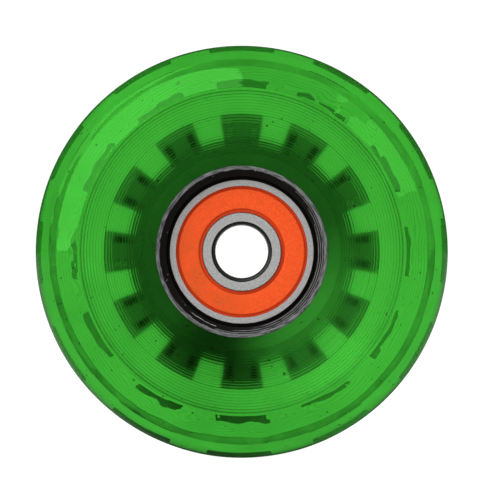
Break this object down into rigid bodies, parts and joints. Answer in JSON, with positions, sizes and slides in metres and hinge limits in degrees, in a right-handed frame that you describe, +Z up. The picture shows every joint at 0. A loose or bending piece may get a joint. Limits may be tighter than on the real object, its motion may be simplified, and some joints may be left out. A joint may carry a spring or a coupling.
{
  "type": "skateboard wheel",
  "caption": "Translucent urethane cruiser wheel with a toothed core, two sealed ball bearings and a spacer on an 8 mm bore.",
  "frame": {"origin": "middle of the wheel, on the axle's centre line", "axes": "+Y along the axle from the front of the wheel to its rear, +Z up; the front faces -Y"},
  "size_m": [0.06, 0.036, 0.06],
  "materials": {
    "urethane": "translucent, glossy lip and turned dish",
    "core_nylon": "moulded, with a lathe-turned rim",
    "spacer_aluminium": "turned",
    "ring_steel": "ground",
    "ball_steel": "polished",
    "washer_steel": "stamped",
    "cage_nylon": "moulded, natural",
    "seal_rubber": "moulded, satin"
  },
  "bodies": {
    "axle_set": {"front_inner_ring": "ring_steel", "spacer": "spacer_aluminium", "rear_inner_ring": "ring_steel"},
    "wheel": {"tyre": "urethane", "core": "core_nylon", "front_outer_ring": "ring_steel", "front_outer_seal": "seal_rubber", "front_outer_seal_washer": "washer_steel", "front_inner_seal": "seal_rubber", "front_inner_seal_washer": "washer_steel", "rear_outer_ring": "ring_steel", "rear_outer_seal": "seal_rubber", "rear_outer_seal_washer": "washer_steel", "rear_inner_seal": "seal_rubber", "rear_inner_seal_washer": "washer_steel"},
    "front_cage_set": {"front_cage": "cage_nylon"},
    "front_rolling_ball_1": {"front_ball_1": "ball_steel"},
    "front_rolling_ball_2": {"front_ball_2": "ball_steel"},
    "front_rolling_ball_3": {"front_ball_3": "ball_steel"},
    "front_rolling_ball_4": {"front_ball_4": "ball_steel"},
    "front_rolling_ball_5": {"front_ball_5": "ball_steel"},
    "front_rolling_ball_6": {"front_ball_6": "ball_steel"},
    "front_rolling_ball_7": {"front_ball_7": "ball_steel"},
    "rear_cage_set": {"rear_cage": "cage_nylon"},
    "rear_rolling_ball_1": {"rear_ball_1": "ball_steel"},
    "rear_rolling_ball_2": {"rear_ball_2": "ball_steel"},
    "rear_rolling_ball_3": {"rear_ball_3": "ball_steel"},
    "rear_rolling_ball_4": {"rear_ball_4": "ball_steel"},
    "rear_rolling_ball_5": {"rear_ball_5": "ball_steel"},
    "rear_rolling_ball_6": {"rear_ball_6": "ball_steel"},
    "rear_rolling_ball_7": {"rear_ball_7": "ball_steel"}
  },
  "joints": [
    {"name": "wheel_spin", "type": "hinge", "parent": "axle_set", "child": "wheel", "pos_m": [0, 0, 0], "axis": [0, 1, 0], "continuous": true},
    {"name": "front_cage_turn", "type": "hinge", "parent": "axle_set", "child": "front_cage_set", "pos_m": [0, 0, 0], "axis": [0, 1, 0], "continuous": true},
    {"name": "front_ball_1_roll", "type": "hinge", "parent": "front_cage_set", "child": "front_rolling_ball_1", "pos_m": [-0.0075, -0.0085, 0], "axis": [0, 1, 0], "continuous": true},
    {"name": "front_ball_2_roll", "type": "hinge", "parent": "front_cage_set", "child": "front_rolling_ball_2", "pos_m": [-0.00468, -0.0085, -0.00586], "axis": [0, 1, 0], "continuous": true},
    {"name": "front_ball_3_roll", "type": "hinge", "parent": "front_cage_set", "child": "front_rolling_ball_3", "pos_m": [0.00167, -0.0085, -0.00731], "axis": [0, 1, 0], "continuous": true},
    {"name": "front_ball_4_roll", "type": "hinge", "parent": "front_cage_set", "child": "front_rolling_ball_4", "pos_m": [0.00676, -0.0085, -0.00325], "axis": [0, 1, 0], "continuous": true},
    {"name": "front_ball_5_roll", "type": "hinge", "parent": "front_cage_set", "child": "front_rolling_ball_5", "pos_m": [0.00676, -0.0085, 0.00325], "axis": [0, 1, 0], "continuous": true},
    {"name": "front_ball_6_roll", "type": "hinge", "parent": "front_cage_set", "child": "front_rolling_ball_6", "pos_m": [0.00167, -0.0085, 0.00731], "axis": [0, 1, 0], "continuous": true},
    {"name": "front_ball_7_roll", "type": "hinge", "parent": "front_cage_set", "child": "front_rolling_ball_7", "pos_m": [-0.00468, -0.0085, 0.00586], "axis": [0, 1, 0], "continuous": true},
    {"name": "rear_cage_turn", "type": "hinge", "parent": "axle_set", "child": "rear_cage_set", "pos_m": [0, 0, 0], "axis": [0, 1, 0], "continuous": true},
    {"name": "rear_ball_1_roll", "type": "hinge", "parent": "rear_cage_set", "child": "rear_rolling_ball_1", "pos_m": [0.0075, 0.0085, 0], "axis": [0, 1, 0], "continuous": true},
    {"name": "rear_ball_2_roll", "type": "hinge", "parent": "rear_cage_set", "child": "rear_rolling_ball_2", "pos_m": [0.00468, 0.0085, -0.00586], "axis": [0, 1, 0], "continuous": true},
    {"name": "rear_ball_3_roll", "type": "hinge", "parent": "rear_cage_set", "child": "rear_rolling_ball_3", "pos_m": [-0.00167, 0.0085, -0.00731], "axis": [0, 1, 0], "continuous": true},
    {"name": "rear_ball_4_roll", "type": "hinge", "parent": "rear_cage_set", "child": "rear_rolling_ball_4", "pos_m": [-0.00676, 0.0085, -0.00325], "axis": [0, 1, 0], "continuous": true},
    {"name": "rear_ball_5_roll", "type": "hinge", "parent": "rear_cage_set", "child": "rear_rolling_ball_5", "pos_m": [-0.00676, 0.0085, 0.00325], "axis": [0, 1, 0], "continuous": true},
    {"name": "rear_ball_6_roll", "type": "hinge", "parent": "rear_cage_set", "child": "rear_rolling_ball_6", "pos_m": [-0.00167, 0.0085, 0.00731], "axis": [0, 1, 0], "continuous": true},
    {"name": "rear_ball_7_roll", "type": "hinge", "parent": "rear_cage_set", "child": "rear_rolling_ball_7", "pos_m": [0.00468, 0.0085, 0.00586], "axis": [0, 1, 0], "continuous": true}
  ],
  "couplings": [
    {"joint": "front_cage_turn", "follows": "wheel_spin", "ratio": 0.63227},
    {"joint": "front_ball_1_roll", "follows": "wheel_spin", "ratio": 1.7579},
    {"joint": "front_ball_2_roll", "follows": "wheel_spin", "ratio": 1.7579},
    {"joint": "front_ball_3_roll", "follows": "wheel_spin", "ratio": 1.7579},
    {"joint": "front_ball_4_roll", "follows": "wheel_spin", "ratio": 1.7579},
    {"joint": "front_ball_5_roll", "follows": "wheel_spin", "ratio": 1.7579},
    {"joint": "front_ball_6_roll", "follows": "wheel_spin", "ratio": 1.7579},
    {"joint": "front_ball_7_roll", "follows": "wheel_spin", "ratio": 1.7579},
    {"joint": "rear_cage_turn", "follows": "wheel_spin", "ratio": 0.63227},
    {"joint": "rear_ball_1_roll", "follows": "wheel_spin", "ratio": 1.7579},
    {"joint": "rear_ball_2_roll", "follows": "wheel_spin", "ratio": 1.7579},
    {"joint": "rear_ball_3_roll", "follows": "wheel_spin", "ratio": 1.7579},
    {"joint": "rear_ball_4_roll", "follows": "wheel_spin", "ratio": 1.7579},
    {"joint": "rear_ball_5_roll", "follows": "wheel_spin", "ratio": 1.7579},
    {"joint": "rear_ball_6_roll", "follows": "wheel_spin", "ratio": 1.7579},
    {"joint": "rear_ball_7_roll", "follows": "wheel_spin", "ratio": 1.7579}
  ]
}
